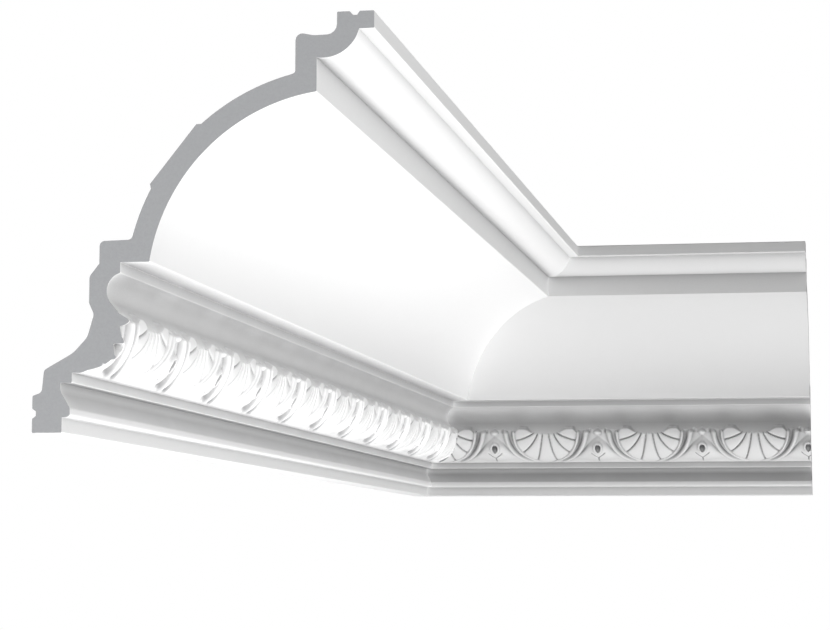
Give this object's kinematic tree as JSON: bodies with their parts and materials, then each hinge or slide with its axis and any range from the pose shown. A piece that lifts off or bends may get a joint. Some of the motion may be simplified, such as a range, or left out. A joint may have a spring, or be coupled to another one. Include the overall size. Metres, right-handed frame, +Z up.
{
  "type": "mitred cornice moulding",
  "caption": "Mitred inside corner of a deep coved cornice with a carved shell-and-dart band and a hollow back, fixed between a wall and a ceiling.",
  "frame": {"origin": "on the lower back bed of the long length, halfway along it and halfway up the strip under the glue groove", "axes": "+X out of the long length's wall into the room, +Y along that wall towards the corner, +Z up to the ceiling"},
  "size_m": [0.4302, 1.2388, 0.245],
  "materials": {
    "primed_white": "matt white primer on dense polyurethane foam, grey-white where it is sawn"
  },
  "bodies": {
    "root": {"long_length": "primed_white", "short_length": "primed_white"}
  },
  "joints": []
}
